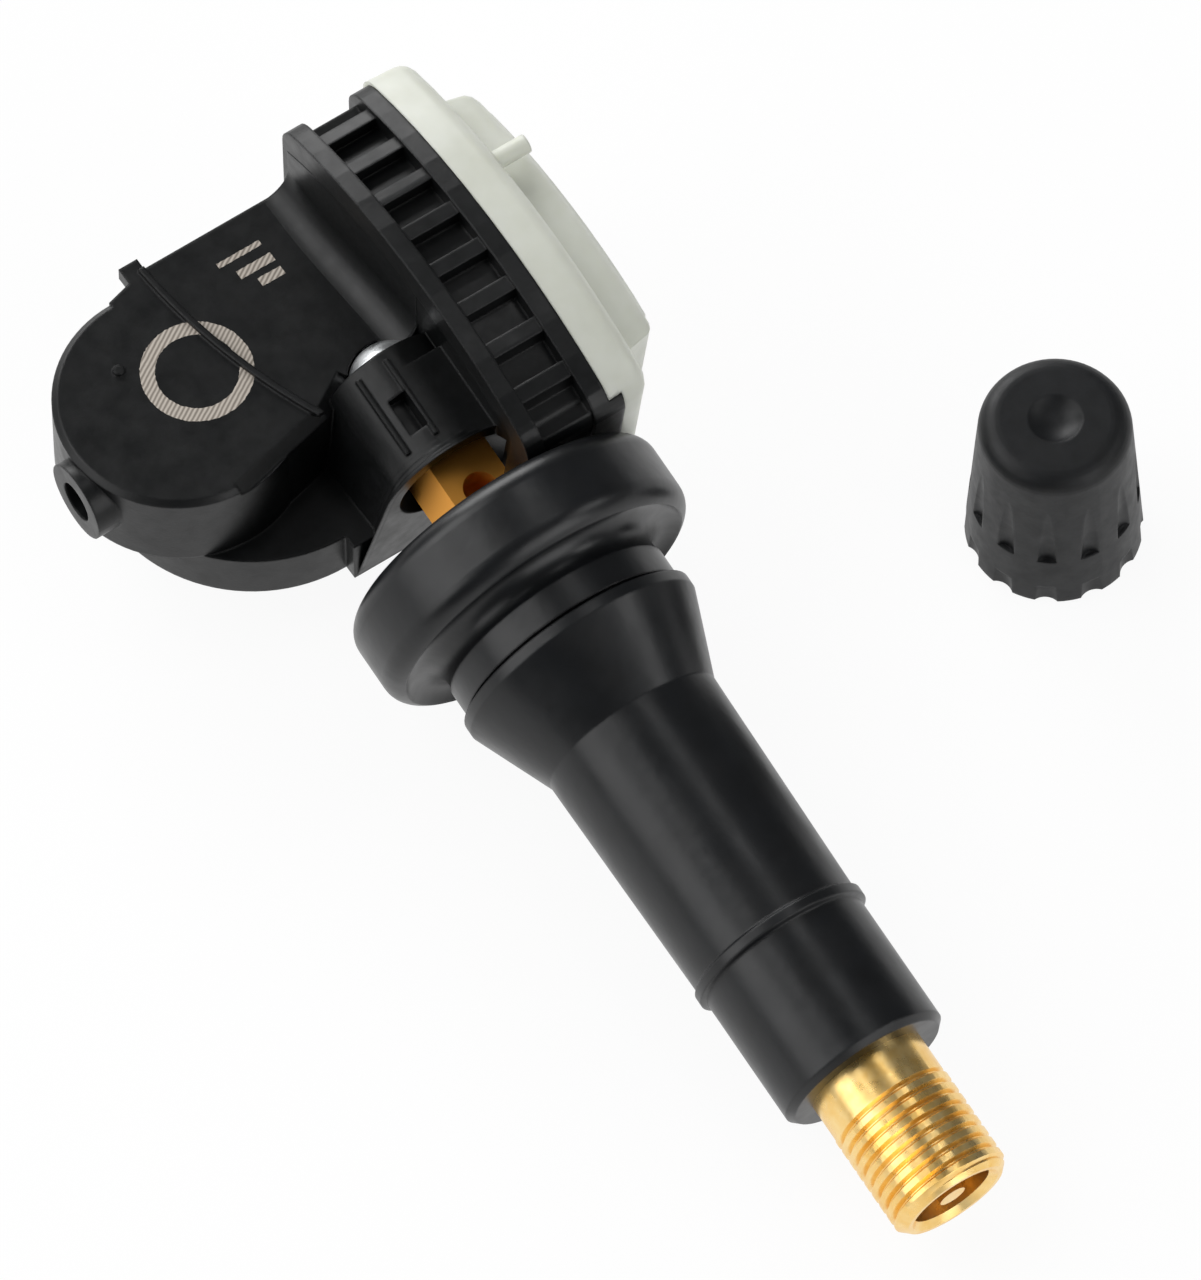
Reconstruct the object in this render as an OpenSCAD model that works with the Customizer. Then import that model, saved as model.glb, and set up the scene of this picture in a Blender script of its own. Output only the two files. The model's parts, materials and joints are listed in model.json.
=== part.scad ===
// Tyre pressure sensor on a rubber snap-in valve stem, lying as it comes to rest,
// with its dust cap taken off and standing beside it. Lengths are in millimetres.
// +X is where the stem points when seen from above, +Y runs from the round nose of the
// housing to the potted cover, and z = 0 is the surface it lies on. The origin is at the
// middle of the outline, on that surface.

/* [Rubber stem] */
// Diameter of the sealing flange
flange_d = 21.1; // [20:0.1:22]
// Thickness of the sealing flange
flange_t = 5.5; // [5:0.1:6.5]
// Rounding of the flange's edges
flange_round = 1.4; // [1:0.1:2]
// Depth of the ring recess in the flange's front face
flange_dish = 0.7; // [0.3:0.1:1.2]
// Diameter of the neck that fills the rim hole
neck_d = 14.9; // [14:0.1:15.2]
// Length of the neck, the groove that the wheel rim snaps into
neck_l = 3.4; // [3:0.1:4.5]
// Largest diameter of the snap-in barb
barb_d = 15.8; // [15.4:0.1:16.5]
// Length of the barb's cone
barb_l = 6; // [5:0.1:8]
// Diameter of the shaft next to the barb
shaft_top_d = 11.6; // [11:0.1:12.5]
// Diameter of the shaft next to the bead
shaft_end_d = 11.1; // [10.5:0.1:11.4]
// Length of the tapered shaft
shaft_l = 15.4; // [12:0.1:18]
// Diameter of the bead between shaft and sleeve
bead_d = 11.6; // [11.4:0.1:12.5]
// Width of that bead
bead_w = 0.9; // [0.6:0.1:1.5]
// Diameter of the end sleeve
sleeve_d = 10.9; // [10.4:0.1:11.4]
// Length of the end sleeve
sleeve_l = 8.8; // [6:0.1:10]
// Chamfer at the sleeve's end
sleeve_chamfer = 0.4; // [0.3:0.05:0.8]

/* [Brass stem] */
// Width across the flats of the square inner end
square_w = 4.1; // [3.8:0.05:4.4]
// Turn of that square about the stem
square_roll = 9; // [-15:1:15]
// Diameter of the part that the rubber is bonded to
bond_d = 6.8; // [6.4:0.1:7.2]
// Diameter of the plain land below the thread
land_d = 7.1; // [6.9:0.05:7.4]
// Length of that land outside the rubber
land_l = 2.5; // [1.5:0.1:4]
// Outer diameter of the cap thread
thread_d = 7.7; // [7.6:0.05:7.8]
// Length of the cap thread
thread_l = 6.9; // [6.4:0.1:8]
// Chamfer at the open end
mouth_chamfer = 0.55; // [0.3:0.05:0.6]
// Bore that takes the valve core's plug
core_bore_d = 5.2; // [5.1:0.05:5.3]
// Bore below the core's seat
chamber_d = 4.2; // [4.1:0.1:4.3]
// Air passage through the rest of the stem
air_d = 2.6; // [2.2:0.1:2.9]
// Cross hole through which air enters the stem
cross_hole_d = 2.3; // [1.8:0.1:2.5]
// Distance from the cross hole to the flange
cross_hole_back = 2.1; // [1.8:0.1:2.4]

/* [Housing] */
// Diameter of the nose, seen from above
nose_d = 15; // [14.4:0.1:15.6]
// Distance from the nose's centre to the collar's front wall
nose_reach = 13.9; // [13.4:0.1:14.5]
// Depth of the upper lobe
lobe_t = 6.4; // [6:0.1:7]
// Depth from the mark face to the underside of the base
base_t = 10; // [9.5:0.1:11]
// Diameter of the round base
base_d = 20; // [19.5:0.1:20.5]
// How far the nose stands out over the base
nose_over = 2.3; // [2:0.1:2.6]
// Bevel along the mark face's long edge
face_bevel = 0.7; // [0.4:0.05:0.9]
// Wall of the lobe around the circuit board
lobe_wall = 1.4; // [1.2:0.1:1.6]
// Width of the collar along the stem
collar_w = 26; // [25.5:0.1:26.5]
// Height of the collar's crown above the mark face
crown_rise = 9.2; // [8.8:0.1:10]
// Radius of the crown's arch
crown_r = 30; // [26:0.5:40]
// Radius of the collar's upper corners
corner_r = 2.2; // [1.8:0.1:3]
// Radius of the collar's lower corners
foot_r = 4.4; // [3.5:0.1:5]
// Width of a rim of the collar
rim_w = 1.2; // [0.9:0.05:1.3]
// How far the rims stand out further at the closed end
rim_out = 0.5; // [0:0.05:0.6]
// How far the rims stand above the floor between them
rim_h = 1.25; // [0.9:0.05:1.5]
// Distance between the two rims
rim_gap = 3.5; // [3:0.1:4.2]
// Pitch of the small ribs between the rims
rib_pitch = 3; // [2.6:0.1:3.6]
// Thickness of one of those ribs
rib_t = 1; // [0.6:0.1:1.4]
// Thickness of the collar's front wall
front_wall = 1.2; // [1:0.1:1.5]
// Thickness of the collar's side wall at the cover
side_wall = 1.15; // [0.9:0.05:1.4]
// Radius of the hollow between mark face and collar
trough_r = 2.1; // [1.5:0.1:2.5]
// Height of the fine ridge across the mark face
ridge_h = 0.35; // [0.2:0.05:0.5]

/* [Stem socket] */
// Distance from the mark face's inner edge to the screw seat along X
seat_x = 13.4; // [13.2:0.1:13.8]
// Distance from the collar's front wall to the stem's axis
axis_off = 2.75; // [2.6:0.05:3]
// Depth of the stem's axis below the mark face at the seat
axis_drop = 0.75; // [0.5:0.05:1.1]
// Thickness of the wall that the screw clamps
seat_wall = 2; // [1.8:0.1:2.4]
// Length of the socket from the seat to its end face
socket_l = 7.6; // [7.2:0.1:8.2]
// Radius of the socket's waist
waist_r = 3.8; // [3.6:0.1:4]
// Height of the two fine rails on the socket
rail_h = 0.25; // [0.15:0.05:0.35]
// Distance between those rails
rail_gap = 1.9; // [1.6:0.1:2.2]
// Distance of the middle between them from the stem's axis
rail_off = 1.5; // [1.2:0.1:1.7]
// Length of the pocket between the rails
window_l = 2.5; // [2:0.1:3]
// Flare at the end of the socket
flare_r = 1.2; // [0.8:0.1:1.5]
// Distance from the screw seat to the rubber flange
seat_to_flange = 12; // [11.8:0.1:12.6]
// Gap between the collar's end and the flange's back face
collar_gap = 0.3; // [0.2:0.05:0.6]

/* [Potted cover] */
// Height of the cover's first step above the collar
step_1 = 2.9; // [2.4:0.1:3.4]
// Height of its second step
step_2 = 2.6; // [2:0.1:3]
// Rise of the domed outer face
dome_rise = 0.8; // [0.4:0.1:1.2]
// Inset of the second step
step_inset = 2.9; // [2:0.1:3.5]
// How far the cover reaches past the ribs at the closed end
cover_out = 0.85; // [0.5:0.05:0.85]
// Diameter of the small gate nub on the step
nub_d = 1.2; // [0.8:0.1:1.6]
// Height of that nub
nub_l = 2.2; // [1.2:0.1:2.6]
// How far the collar's lip reaches over the cover
lip_l = 0.9; // [0.6:0.1:1.2]
// How far the cover reaches into the collar
spigot_l = 0.9; // [0.6:0.1:1.2]

/* [Electronics] */
// Diameter of the coin cell
cell_d = 16; // [15:0.1:16.5]
// Thickness of the coin cell
cell_t = 3.2; // [2.4:0.1:3.3]
// Thickness of the circuit board
board_t = 1; // [0.8:0.1:1.2]
// Clear space under the circuit board
board_lift = 0.7; // [0.5:0.05:0.8]
// Height of the pressure sensor chip
sensor_h = 5.5; // [5.4:0.05:5.6]
// Width of that chip
sensor_w = 5.2; // [5:0.1:5.4]
// Thickness of that chip
sensor_t = 2.2; // [2:0.1:2.4]
// Thickness of the port gasket
gasket_t = 0.8; // [0.6:0.05:1]
// Diameter of the air port in the nose
port_d = 2.6; // [2.2:0.1:3]
// Diameter of the boss round the air port
port_boss_d = 5; // [4.6:0.1:5.4]
// Diameter of the port gasket
gasket_d = 3.4; // [3.2:0.1:3.5]
// How far that boss stands out of the nose
port_boss_out = 0.6; // [0.4:0.1:1]
// Width of the cell tabs
tab_w = 2.5; // [2:0.1:3]
// Thickness of the cell tabs
tab_t = 0.2; // [0.15:0.05:0.3]

/* [Screw] */
// Diameter of the screw's head
head_d = 4.5; // [4.2:0.1:4.8]
// Height of the screw's head
head_h = 1.7; // [1.4:0.05:1.9]
// Diameter of the screw's shank
screw_d = 2.5; // [2.3:0.1:2.6]
// Length of the screw under its head
screw_l = 7; // [6:0.1:7.4]

/* [Valve core] */
// Running gap between the core's parts
core_gap = 0.05; // [0.03:0.01:0.08]
// Depth of the core's plug below the mouth
plug_in = 1.6; // [1.2:0.1:1.8]
// Length of the core's threaded plug
plug_l = 4.4; // [4:0.1:4.8]
// Length of the core's barrel
barrel_l = 8; // [7.6:0.1:9]
// Outer diameter of the barrel
barrel_d = 3.8; // [3.7:0.05:3.9]
// Diameter of the valve pin
pin_d = 1; // [0.9:0.05:1.1]
// Depth of the pin's head below the mouth
pin_in = 0.3; // [0.2:0.05:0.5]
// Travel of the valve pin
pin_travel = 1.3; // [1:0.05:1.5]
// Diameter of the spring's wire
wire_d = 0.22; // [0.18:0.01:0.24]
// Number of turns of the spring
spring_turns = 6; // [4:1:8]

/* [Dust cap] */
// Height of the cap
cap_h = 12.7; // [11.5:0.1:13.5]
// Diameter of the cap's top
cap_top_d = 8.8; // [8.4:0.1:9.2]
// Diameter of the cap's open end
cap_base_d = 10.65; // [10.4:0.05:11.2]
// Height of the plain foot below the grip grooves
cap_foot = 4.2; // [3.6:0.1:4.8]
// Width of a grip groove
grip_w = 1.5; // [1.2:0.1:1.8]
// Number of grip grooves
cap_grips = 12; // [10:1:14]
// Distance from the stem's screw seat to the standing cap, along X
cap_away_x = 24.6; // [22:0.1:30]
// Distance from the stem's axis to the standing cap, along Y
cap_away_y = 31.3; // [28:0.1:36]

/* [Hidden] */
eps = 0.01;
$fn = 48;

// Stations along the stem's axis, from the screw seat
flange_front = seat_to_flange + flange_t;
neck_end = flange_front + neck_l;
barb_end = neck_end + barb_l;
shaft_end = barb_end + shaft_l;
bead_end = shaft_end + bead_w;
sleeve_end = bead_end + sleeve_l;
thread_start = sleeve_end + land_l;
mouth = thread_start + thread_l;

// The stem rests on the flange's rounded front edge and on the last full thread
edge_station = flange_front - flange_round;
reach_along = mouth - mouth_chamfer - edge_station;
reach_across = flange_d / 2 - flange_round - thread_d / 2;
tilt = atan2(reach_across, reach_along) + asin(flange_round / norm([reach_along, reach_across]));
seat_z = edge_station * sin(tilt) + (flange_d / 2 - flange_round) * cos(tilt) + flange_round;

// Heights and stations of the housing
face_z = seat_z + axis_drop;
base_z = face_z - base_t;
nose_c = [nose_d / 2 + 0.8, -3];
front_y = nose_c[1] + nose_reach;
seat_y = front_y - axis_off;
base_c = [nose_c[0] + 0.5, nose_c[1] - nose_d / 2 + nose_over + base_d / 2];
rim_1_y = front_y - 0.7;
rim_2_y = rim_1_y + rim_w + rim_gap;
collar_y = rim_2_y + rim_w;
collar_h = face_z + crown_rise;
base_end_x = seat_x + socket_l * cos(tilt) - 1.2;
port_x = nose_c[0] + 1.3;
port_z = face_z - 3;
side_a = [nose_c[0] + nose_d / 2, nose_c[1]];
side_b = [nose_c[0] + nose_d / 2 - 1.6, 3.7];
side_c = [seat_x - 0.4, 5.7];
port_y = nose_c[1] - nose_d / 2 - port_boss_out;
ledge_y = front_y + front_wall + 0.9;

// Electronics in the lobe and in the collar
board_z = base_z + lobe_wall + board_lift;
board_top = board_z + board_t;
chip_y = base_c[1] - base_d / 2 + lobe_wall + 0.1;
lobe_floor_z = face_z - lobe_t + lobe_wall - 0.2;
cell_c = [collar_w / 2 - 0.7, collar_h / 2 + 0.1];
cell_pocket_r = cell_d / 2 + 0.15;
coil_len = 6;
coil_r = 1.9;

// Stations of the valve core, measured from the screw seat
plug_out = mouth - plug_in;
plug_end = plug_out - plug_l;
seat_cone = mouth - thread_l - 0.4;
cone_l = 1.2;
barrel_end = plug_end - barrel_l;
shoulder = barrel_end + 1.5;
pin_foot = 1.6;
chamber_end = barrel_end - pin_foot - pin_travel - 2.8;
pin_head = mouth - pin_in;
collar_station = plug_end - 1.2;
cross_hole_at = seat_to_flange - cross_hole_back;

// Where the cap stands
cap_c = [seat_x + cap_away_x, seat_y + cap_away_y];
cap_bore_d = thread_d + 0.3;
cap_roof = 2.6;
cap_seal_t = 0.8;
nub_x = 9.1;

// The whole part's outline, which sets the origin
mid_x = (mouth * cos(tilt) + seat_x + (thread_d / 2 - mouth_chamfer) * sin(tilt) - 0.8) / 2;
mid_y = (port_y + cap_c[1] + cap_base_d / 2) / 2;

// Moves a piece from the housing's corner frame to the part's frame
module placed() translate([-mid_x, -mid_y, 0]) children();

// Puts what stands on z = 0 onto the stem's axis at a station, with x pointing down
module on_stem(station = 0)
    placed() translate([seat_x, seat_y, seat_z]) rotate([0, 90 + tilt, 0])
        translate([0, 0, station]) children();

// A plain round between two stations of the stem
module rod(from, to, d, d_end = -1) on_stem(from)
    cylinder(h = to - from, d1 = d, d2 = d_end < 0 ? d : d_end);

// A square bar between two stations of the stem
module square_bar(from, to, w) on_stem(from) rotate([0, 0, -square_roll])
    translate([-w / 2, -w / 2, 0]) cube([w, w, to - from]);

// X of the collar's slanted end, which follows the flange's back face, at height z
function end_x(z) = seat_x + (seat_to_flange - collar_gap + (z - seat_z) * sin(tilt)) / cos(tilt);

function arc(c, r, from, to, steps) =
    [for (i = [0 : steps]) let (a = from + (to - from) * i / steps)
        [c[0] + r * cos(a), c[1] + r * sin(a)]];

// Outline of the collar in X and Z, drawn inward by an inset and out at its closed end.
// An outline that reaches out there is also drawn in a little more at the stem's end.
function collar_outline(inset, out = 0) =
    let (
        mid = [collar_w / 2, collar_h - crown_r],
        top_r = crown_r - inset,
        r = max(corner_r - inset, 0.8),
        foot = max(foot_r - inset, 0.8),
        side = collar_w / 2 - inset - r,
        rise = sqrt((top_r - r) * (top_r - r) - side * side),
        turn = atan2(rise, side),
        points = concat(
            arc([mid[0] + side, mid[1] + rise], r, 0, turn, 6),
            arc(mid, top_r, turn + 4, 176 - turn, 8),
            arc([mid[0] - side, mid[1] + rise], r, 180 - turn, 180, 6),
            arc([inset + foot, inset + foot], foot, 180, 270, 6),
            arc([collar_w - inset - foot, inset + foot], foot, 270, 360, 6)))
    [for (p = points)
        [p[0] < mid[0] ? p[0] - out : min(p[0], end_x(p[1]) - inset * (1 + out / 2)), p[1]]];

// Extrudes an outline in X and Z along Y
module along_y(from, to) translate([0, to, 0]) rotate([90, 0, 0])
    linear_extrude(to - from) children();

module collar_slab(from, to, inset, out = 0) along_y(from, to)
    polygon(collar_outline(inset, out));

// Skin through rings of the collar's outline, each given as [y, inset, share of its size, out].
// The smaller a ring, the rounder it is.
module collar_loft(rings) {
    centre = [collar_w / 2 - 0.3, collar_h / 2];
    round_r = 0.4 * collar_h;
    outlines = [for (g = rings) [for (p = collar_outline(g[1], g[3]))
        let (d = p - centre, q = centre + g[2] * (g[2] * d + (1 - g[2]) * round_r * d / norm(d)))
        [q[0], g[0], q[1]]]];
    count = len(outlines[0]);
    last = len(rings) - 1;
    walls = [for (k = [0 : last - 1], i = [0 : count - 1]) let (j = (i + 1) % count)
        each [[k * count + i, k * count + j, (k + 1) * count + j],
              [k * count + i, (k + 1) * count + j, (k + 1) * count + i]]];
    ends = [[for (i = [count - 1 : -1 : 0]) i], [for (i = [0 : count - 1]) last * count + i]];
    polyhedron(points = [for (ring = outlines) each ring], faces = concat(walls, ends));
}

// Outline of the mark face seen from above
module lobe_outline(inset = 0) {
    translate(nose_c) circle(d = nose_d - 2 * inset);
    polygon([[nose_c[0] - nose_d / 2 + inset, nose_c[1]], [side_a[0] - inset, side_a[1]],
        [side_b[0] - inset, side_b[1]], [side_c[0] - inset, side_c[1]],
        [side_c[0] - inset, front_y + 0.5], [inset, front_y + 0.5], [inset, 0]]);
}

// Wedge that bevels the mark face's edge between two corners
module edge_bevel(from, to) {
    run = to - from;
    translate([from[0], from[1], face_z]) rotate([0, 0, atan2(run[1], run[0])])
        translate([-0.4, 0, 0]) rotate([45, 0, 0])
            translate([0, -face_bevel / sqrt(2), -face_bevel / sqrt(2)])
                cube([norm(run) + 0.8, face_bevel * sqrt(2), face_bevel * sqrt(2)]);
}

// Outline of the base seen from above
module base_outline(inset = 0) intersection() {
    union() {
        translate(base_c) circle(d = base_d - 2 * inset);
        translate([0, base_c[1]]) square([base_end_x, front_y - base_c[1] + 0.5]);
    }
    translate([inset, -50]) square([base_end_x - 2 * inset, 100]);
}

module lobe() placed() {
    difference() {
        translate([0, 0, face_z - lobe_t]) linear_extrude(lobe_t) lobe_outline();
        edge_bevel(side_a, side_b);
        edge_bevel(side_b, side_c);
        translate([nose_c[0], nose_c[1], face_z - 0.35]) difference() {
            translate([-nose_d, -nose_d, 0]) cube([2 * nose_d, nose_d, 1]);
            cylinder(h = 1, d1 = nose_d, d2 = nose_d - 2);
        }
    }
    translate([0, 0, base_z]) linear_extrude(base_t - lobe_t + eps) base_outline();
    translate([0, 0, base_z]) cube([side_b[0] - 0.7, front_y + 0.5, base_t - 0.5]);
    trough_fillet();
    ridge();
    translate([-0.8, -1.3, face_z - 1.1]) cube([1.6, 1.3, 1.1]);
    translate([5.04, -5.05, face_z - eps]) cylinder(h = 0.25, d = 0.7);
    translate([port_x, port_y, port_z]) rotate([-90, 0, 0]) cylinder(h = 4, d = port_boss_d);
}

// The hollow that leads the mark face up into the collar
module trough_fillet() difference() {
    translate([0, front_y - trough_r, face_z - eps]) cube([side_c[0], trough_r + 0.5, trough_r]);
    translate([-1, front_y - trough_r, face_z + trough_r]) rotate([0, 90, 0])
        cylinder(h = seat_x + 3, r = trough_r);
}

// Fine curved ridge from the ear to the screw boss
module ridge() {
    ridge_r = 41;
    intersection() {
        translate([-2.5, ridge_r - 0.3, face_z - eps]) difference() {
            cylinder(h = ridge_h, r = ridge_r + 0.2, $fn = 180);
            translate([0, 0, -1]) cylinder(h = ridge_h + 2, r = ridge_r - 0.2, $fn = 180);
        }
        translate([0, -2, face_z - eps]) cube([14.2, 7, 1]);
    }
}

// Section of the socket across the stem, with x pointing down
module socket_section(r, depth) {
    circle(r);
    rotate(-9) translate([0, -r]) square([depth, r + 1]);
    square([depth, r]);
}

// Solid shoulder between the socket's crown and the collar
module socket_shoulder() on_stem(1.5) linear_extrude(socket_l - 1.5)
    translate([-waist_r, rail_gap / 2 - rail_off]) square([waist_r, axis_off + rail_off]);

module socket_rails() for (y = [-rail_off - rail_gap / 2, -rail_off + rail_gap / 2])
    on_stem(0.6) translate([-sqrt(waist_r * waist_r - y * y) - rail_h, y - 0.15, 0])
        cube([rail_h + 1, 0.3, socket_l - 2.1]);

module socket() {
    steps = 5;
    intersection() {
        union() {
            on_stem() linear_extrude(socket_l) socket_section(waist_r, 13);
            socket_shoulder();
            socket_rails();
            for (i = [0 : steps - 1]) {
                a = 90 * (i + 0.5) / steps;
                on_stem(socket_l - flare_r * (1 - sin(90 * i / steps)))
                    linear_extrude(flare_r * (1 - sin(90 * i / steps)))
                        socket_section(waist_r + flare_r * (1 - cos(a)), 13);
            }
        }
        placed() translate([seat_x - 1, -5, base_z])
            cube([socket_l + 5, front_y + 5.5, 40]);
    }
}

module collar_body() placed() {
    difference() {
        collar_slab(rim_1_y, rim_1_y + rim_w, 0, rim_out);
        collar_slab(rim_1_y - 1, front_y, side_wall + 0.9);
    }
    collar_slab(front_y, collar_y, rim_h);
    collar_slab(rim_2_y, collar_y, 0, rim_out);
    along_y(rim_1_y + rim_w, rim_2_y) intersection() {
        polygon(collar_outline(0.2));
        union() {
            for (x = [rib_pitch / 2 : rib_pitch : collar_w])
                translate([x, 0]) square([rib_t, collar_h]);
            for (z = [rib_pitch : rib_pitch : collar_h - rib_pitch])
                translate([0, z]) square([collar_w + 1, rib_t]);
        }
    }
    collar_lip(0);
}

// Lip at the stem's side of the collar that holds the cover, grown by a gap
module collar_lip(gap) along_y(rim_2_y, collar_y + lip_l + gap) intersection() {
    difference() {
        polygon(collar_outline(-gap));
        polygon(collar_outline(side_wall + gap));
    }
    translate([collar_w - 5 - gap, 8 - gap]) square([7, 11.5 + 2 * gap]);
}

// Space for the coin cell, the board's end and the tabs inside the collar
module collar_hollow() placed() {
    along_y(front_y + front_wall, ledge_y + eps) translate(cell_c) circle(cell_d / 2 - 1.1);
    along_y(ledge_y, collar_y + 1) translate(cell_c) circle(cell_pocket_r);
    collar_slab(collar_y - spigot_l, collar_y + 2, rim_h + side_wall);
    translate([cell_c[0] - tab_w / 2 - 0.1, front_y + front_wall, cell_c[1] - cell_pocket_r - 0.4])
        cube([tab_w + 0.2, collar_y - front_y, 4]);
}

// Space for the circuit board inside the lobe, open to the collar under the stem
module lobe_hollow() placed() {
    floor_z = base_z + lobe_wall;
    translate([0, 0, floor_z]) linear_extrude(lobe_floor_z - floor_z + eps) intersection() {
        lobe_outline(lobe_wall + 0.2);
        base_outline(lobe_wall);
        translate([0, -20]) square([nose_d, 23]);
    }
    translate([0, 0, lobe_floor_z]) linear_extrude(face_z - 1.2 - lobe_floor_z) intersection() {
        lobe_outline(lobe_wall + 0.2);
        translate([0, -20]) square([nose_d, 23]);
    }
    translate([2, 0, floor_z]) cube([11, ledge_y, board_top + 1.2 - floor_z]);
    translate([port_x - sensor_w / 2 - 0.1, chip_y - 0.05, board_top - 0.1])
        cube([sensor_w + 0.2, sensor_t + 0.5, lobe_floor_z - board_top + 0.2]);
}

// Pads that carry the board and the flat that the port gasket seals on
module lobe_pads() placed() {
    for (x = [3.2, 11.4], y = [-5, 6])
        translate([x, y, base_z + lobe_wall - eps]) cylinder(h = board_lift + eps, d = 1.6);
    intersection() {
        translate([port_x, chip_y - gasket_t, port_z]) rotate([90, 0, 0])
            cylinder(h = 4, d = port_boss_d + 0.4);
        translate([0, 0, base_z]) linear_extrude(base_t - 0.4) lobe_outline(0.5);
    }
}

module housing() color("#1b1c1e") difference() {
    union() {
        difference() {
            union() {
                lobe();
                collar_body();
                socket();
            }
            collar_hollow();
            lobe_hollow();
        }
        lobe_pads();
    }
    placed() translate([port_x, port_y - 1, port_z]) rotate([-90, 0, 0])
        cylinder(h = 8, d = port_d);
    // Square hole for the stem, the screw's hole and the room for its head
    square_bar(seat_wall, seat_wall + 20, square_w + 0.1);
    rod(-1, seat_wall + 1, screw_d + 0.3);
    screw_head(0.12);
    // Pocket between the rails, and the dished end
    on_stem(socket_l - 2.3 - window_l) translate([-12, 0.7 - rail_off - rail_gap / 2, 0])
        cube([12 - square_w / 2 - 0.5, rail_gap - 0.8, window_l]);
    on_stem(socket_l - 1) cylinder(h = 2, d1 = 5.8, d2 = 9.4);
}

module potted_cover() color("#dfe5d9") {
    cover_body();
    placed() along_y(collar_y + step_1 - 0.5, collar_y + step_1 + nub_l)
        translate([nub_x, collar_h - step_inset / 2 - 0.2]) circle(d = nub_d);
}

module cover_body() placed() difference() {
    round_steps = 4;
    turn = 90 / round_steps;
    y_1 = collar_y + step_1;
    y_2 = y_1 + step_2;
    soft = 1;
    collar_loft(concat(
        [[collar_y - spigot_l, rim_h + side_wall + 0.05, 1, 0],
         [collar_y + eps, rim_h + side_wall + 0.05, 1, 0],
         [collar_y + eps, 0.05, 1, cover_out]],
        [for (i = [0 : round_steps])
            [y_1 - soft * (1 - sin(turn * i)), 0.15 + soft * (1 - cos(turn * i)), 1, cover_out]],
        [[y_1 + eps, step_inset - 0.3, 1, cover_out / 2]],
        [for (i = [0 : round_steps])
            [y_2 - soft * (1 - sin(turn * i)), step_inset + soft * (1 - cos(turn * i)), 1,
             cover_out / 2]],
        [for (k = [1 : 5])
            [y_2 + dome_rise * sin(18 * k), step_inset + soft, cos(16.5 * k), cover_out / 2]]));
    along_y(0, ledge_y + cell_t + tab_t + 0.2) translate(cell_c) circle(cell_pocket_r + 0.4);
    collar_lip(0.05);
}

module circuit_board() color("#1f6b3a") placed() translate([0, 0, board_z])
    linear_extrude(board_t) intersection() {
        union() {
            translate(nose_c) circle(d = nose_d - 2 * lobe_wall - 0.6);
            translate([2.4, nose_c[1]]) square([10.2, ledge_y - 0.4 - nose_c[1]]);
        }
        union() {
            translate(base_c) circle(d = base_d - 2 * lobe_wall - 0.3);
            translate([0, base_c[1]]) square([nose_d, nose_reach]);
        }
    }

module pressure_sensor() color("#3c3f44") placed() {
    translate([port_x - sensor_w / 2, chip_y, board_top]) cube([sensor_w, sensor_t, sensor_h]);
    translate([port_x, chip_y + eps, port_z]) rotate([90, 0, 0]) cylinder(h = 1.6, d = port_d - 0.8);
}

module port_gasket() color("#8c3b2e") placed()
    translate([port_x, chip_y, port_z]) rotate([90, 0, 0]) difference() {
        cylinder(h = gasket_t, d = gasket_d);
        translate([0, 0, -1]) cylinder(h = gasket_t + 2, d = port_d - 0.8);
    }

module controller_chip() color("#202226") placed()
    translate([6, 4.6, board_top]) cube([4, 4, 0.9]);

module crystal() color("#b9bcc0") placed()
    translate([5, 1.2, board_top]) cube([2, 3.2, 0.8]);

module capacitors() color("#b08d5b") placed()
    for (y = [5, 6.8, 8.6]) translate([3.2, y, board_top]) cube([1.6, 0.8, 0.8]);

module coil_core() color("#4a4a4c") placed()
    translate([nose_c[0], nose_c[1] + 1.2, board_top + coil_r + 0.15]) {
        for (side = [-1, 1]) translate([side * (coil_len / 2 + 0.4), 0, -0.075])
            cube([0.8, 2 * coil_r + 0.2, 2 * coil_r + 0.15], center = true);
        rotate([0, 90, 0]) cylinder(h = coil_len + 0.4, r = 1, center = true);
    }

module coil_winding() color("#b5652b") placed()
    translate([nose_c[0], nose_c[1] + 1.2, board_top + coil_r + 0.15]) rotate([0, 90, 0])
        difference() {
            cylinder(h = coil_len, r = coil_r, center = true);
            cylinder(h = coil_len + 1, r = 1, center = true);
        }

module rf_antenna() color("#c8a24a") placed() {
    loop_h = face_z - 1.6 - board_top;
    for (x = [3, 12.2]) translate([x, 2, board_top]) cube([0.6, 0.6, loop_h]);
    translate([3, 2, board_top + loop_h - 0.6]) cube([9.8, 0.6, 0.6]);
}

module coin_cell() color("#c3c6c9") placed()
    along_y(ledge_y, ledge_y + cell_t) translate(cell_c) circle(d = cell_d);

// Strap over the cell's outer face, round its lower edge and up to the board's underside
module cell_tab_plus() color("#a9acaf") placed() {
    x = cell_c[0] - tab_w / 2;
    low = cell_c[1] - cell_d / 2 - 0.05;
    far = ledge_y + cell_t;
    near = front_y + front_wall + 0.2;
    translate([x, far, low - tab_t]) cube([tab_w, tab_t, 7]);
    translate([x, near, low - tab_t]) cube([tab_w, far - near + tab_t, tab_t]);
    translate([x, near, low - tab_t]) cube([tab_w, tab_t, board_z - low + tab_t]);
}

// Bent strap from the cell's inner face to the board's top
module cell_tab_minus() color("#a9acaf") placed() {
    x = cell_c[0] - tab_w - 1.8;
    translate([x, ledge_y - tab_t, board_top]) cube([tab_w, tab_t, 6]);
    translate([x, ledge_y - 2, board_top]) cube([tab_w, 2, tab_t]);
}

// The screw's domed head, grown by a gap
module screw_head(gap = 0) {
    crown = head_h - 0.5;
    dome_r = (head_d * head_d / 4 + crown * crown) / (2 * crown);
    intersection() {
        rod(-head_h - gap, 0, head_d + 2 * gap);
        on_stem(dome_r - head_h) sphere(dome_r + gap, $fn = 64);
    }
}

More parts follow.
